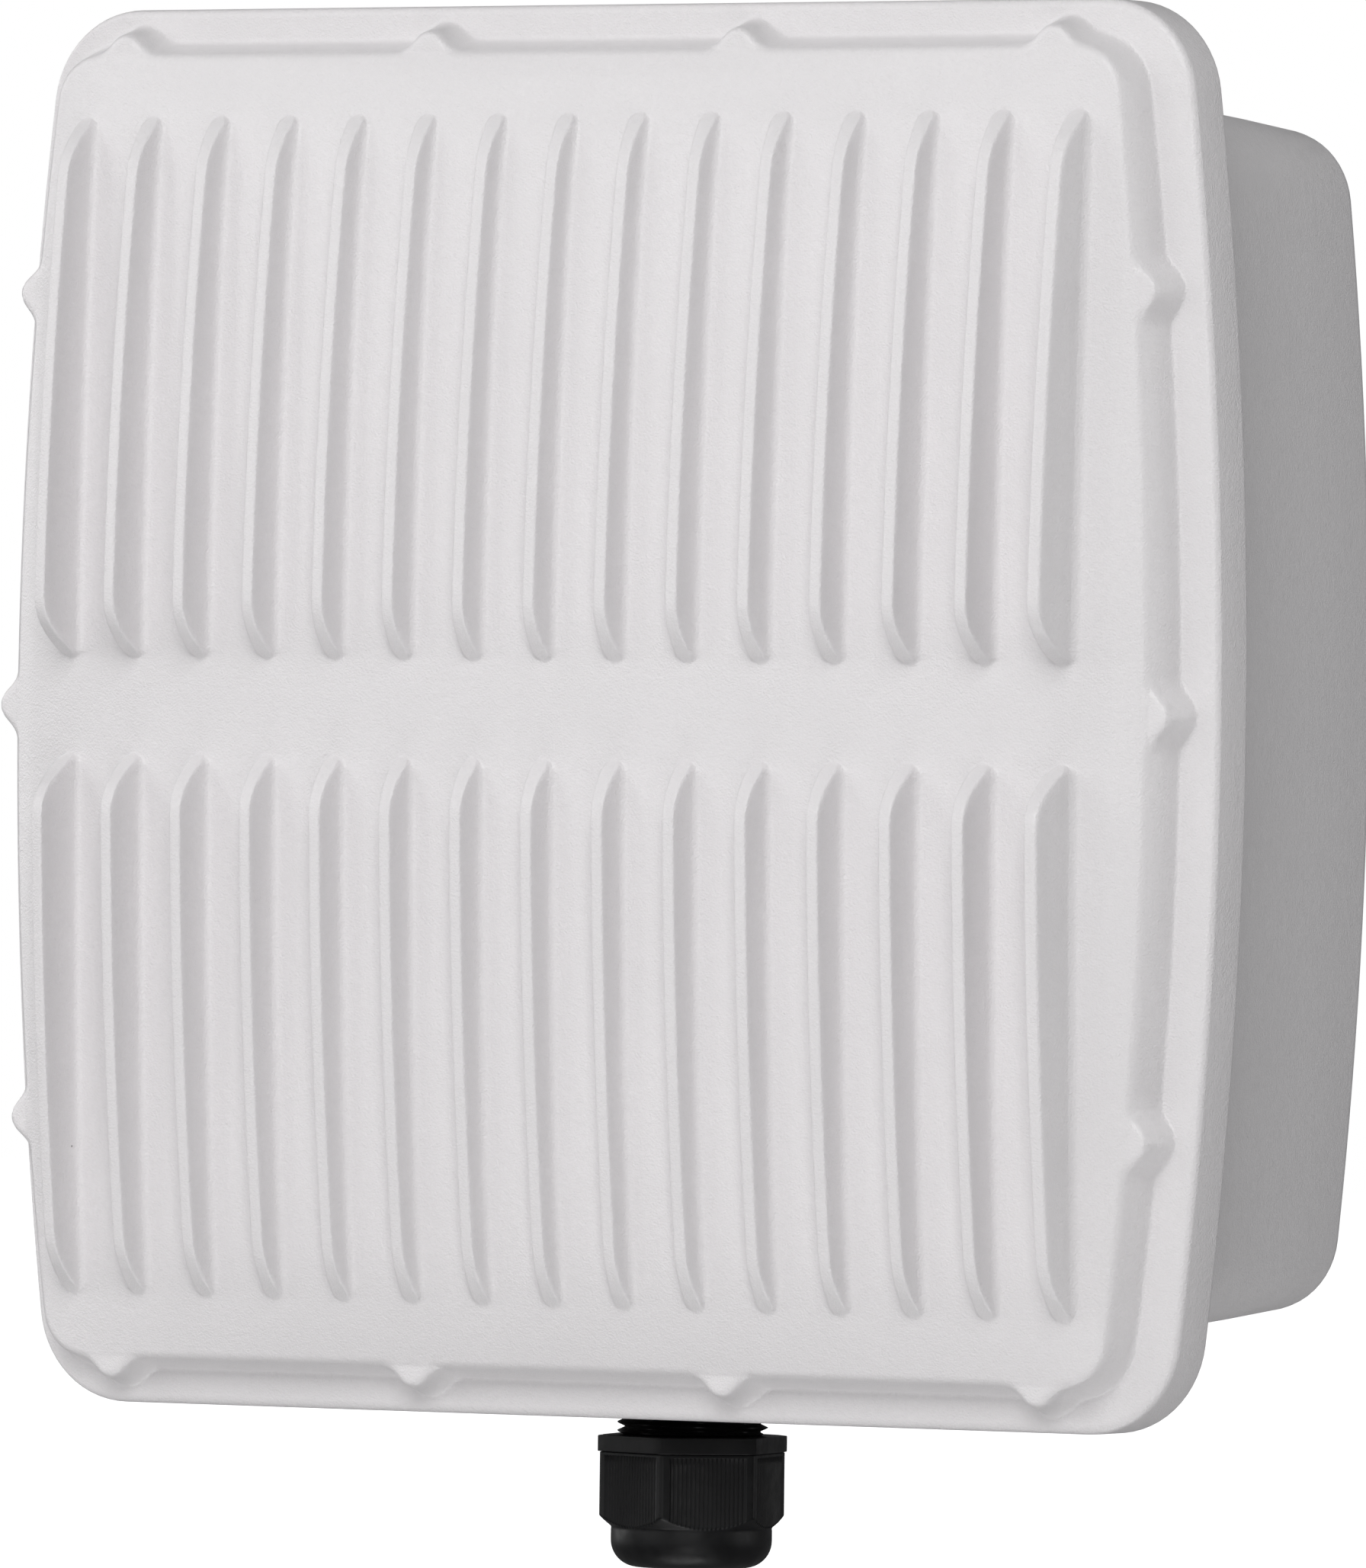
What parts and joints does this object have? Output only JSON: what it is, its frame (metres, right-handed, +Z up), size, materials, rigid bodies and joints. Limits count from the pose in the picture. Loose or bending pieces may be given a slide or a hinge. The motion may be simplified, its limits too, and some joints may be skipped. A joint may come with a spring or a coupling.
{
  "type": "outdoor wireless access point",
  "caption": "Weatherproof wall or pole mounted wireless access point: ribbed die-cast cover, deep box, cable gland below.",
  "frame": {"origin": "centre of the bracket land, the flat face at the back that meets the wall bracket", "axes": "+Z up, -Y out of the wall towards the ribbed cover, +X to the right of someone facing the cover"},
  "size_m": [0.2573, 0.1224, 0.2888],
  "materials": {
    "powder_coat": "fine orange-peel powder coat, satin",
    "housing_paint": "smooth satin paint",
    "stainless_steel": "turned stainless steel",
    "grey_silicone": "matte silicone",
    "nickel_plate": "bright nickel plate",
    "white_insulator": "smooth fluoropolymer",
    "lead_jacket": "smooth extruded jacket",
    "black_nylon": "moulded nylon, satin",
    "black_rubber": "matte moulded rubber",
    "brass": "turned brass",
    "green_circuit_board": "glossy solder mask on fibreglass",
    "black_epoxy": "moulded epoxy",
    "moulded_black": "moulded plastic",
    "thermal_silicone": "soft silicone pad",
    "tin_plate": "tin-plated sheet steel",
    "ferrite": "sintered ferrite, matte",
    "capacitor_sleeve": "shrink sleeve, glossy",
    "arrester_ceramic": "glazed ceramic",
    "light_lens": "tinted clear lens",
    "button_red": "moulded plastic cap"
  },
  "bodies": {
    "housing": {"front_cover": "powder_coat", "rear_housing": "housing_paint", "cover_screw_01": "stainless_steel", "cover_screw_02": "stainless_steel", "cover_screw_03": "stainless_steel", "cover_screw_04": "stainless_steel", "cover_screw_05": "stainless_steel", "cover_screw_06": "stainless_steel", "cover_screw_07": "stainless_steel", "cover_screw_08": "stainless_steel", "cover_screw_09": "stainless_steel", "cover_screw_10": "stainless_steel", "cover_screw_11": "stainless_steel", "cover_screw_12": "stainless_steel", "cover_screw_13": "stainless_steel", "cover_screw_14": "stainless_steel", "board_screw_1": "stainless_steel", "board_screw_2": "stainless_steel", "board_screw_3": "stainless_steel", "board_screw_4": "stainless_steel", "earth_washer": "stainless_steel", "cover_gasket": "grey_silicone", "antenna_socket_left": "nickel_plate", "antenna_socket_right": "nickel_plate", "antenna_nut_left": "nickel_plate", "antenna_nut_right": "nickel_plate", "antenna_contact_left": "white_insulator", "antenna_contact_right": "white_insulator", "antenna_lead_left": "lead_jacket", "antenna_lead_right": "lead_jacket", "gland_body": "black_nylon", "gland_lock_nut": "black_nylon", "pressure_vent": "black_nylon", "gland_seal_ring": "black_rubber", "gland_cable_seal": "black_rubber", "earth_screw": "brass", "main_board": "green_circuit_board", "radio_card": "green_circuit_board", "processor": "black_epoxy", "memory_chip_1": "black_epoxy", "memory_chip_2": "black_epoxy", "ethernet_transformer": "black_epoxy", "radio_card_socket": "moulded_black", "reset_switch": "moulded_black", "thermal_pad": "thermal_silicone", "radio_shield": "tin_plate", "network_jack": "tin_plate", "power_transformer": "ferrite", "power_coil": "ferrite", "capacitor_1": "capacitor_sleeve", "capacitor_2": "capacitor_sleeve", "surge_arrester_1": "arrester_ceramic", "surge_arrester_2": "arrester_ceramic", "status_light": "light_lens"},
    "gland_thrust": {"gland_thrust_ring": "black_nylon"},
    "gland_nut": {"gland_nut": "black_nylon"},
    "reset_plunger": {"reset_plunger": "button_red"}
  },
  "joints": [
    {"name": "gland_thrust_slide", "type": "slide", "parent": "housing", "child": "gland_thrust", "axis": [0, 0, -1], "range_m": [0, 0.0045]},
    {"name": "gland_nut_turn", "type": "hinge", "parent": "gland_thrust", "child": "gland_nut", "pos_m": [0, -0.058, -0.145], "axis": [0, 0, -1], "range_deg": [0, 1080]},
    {"name": "reset_press", "type": "slide", "parent": "housing", "child": "reset_plunger", "axis": [0, -1, 0], "range_m": [0, 0.0015], "stiffness_N_per_m": 800}
  ],
  "couplings": [
    {"joint": "gland_thrust_slide", "follows": "gland_nut_turn", "m_per_rad": 0.00023873}
  ]
}
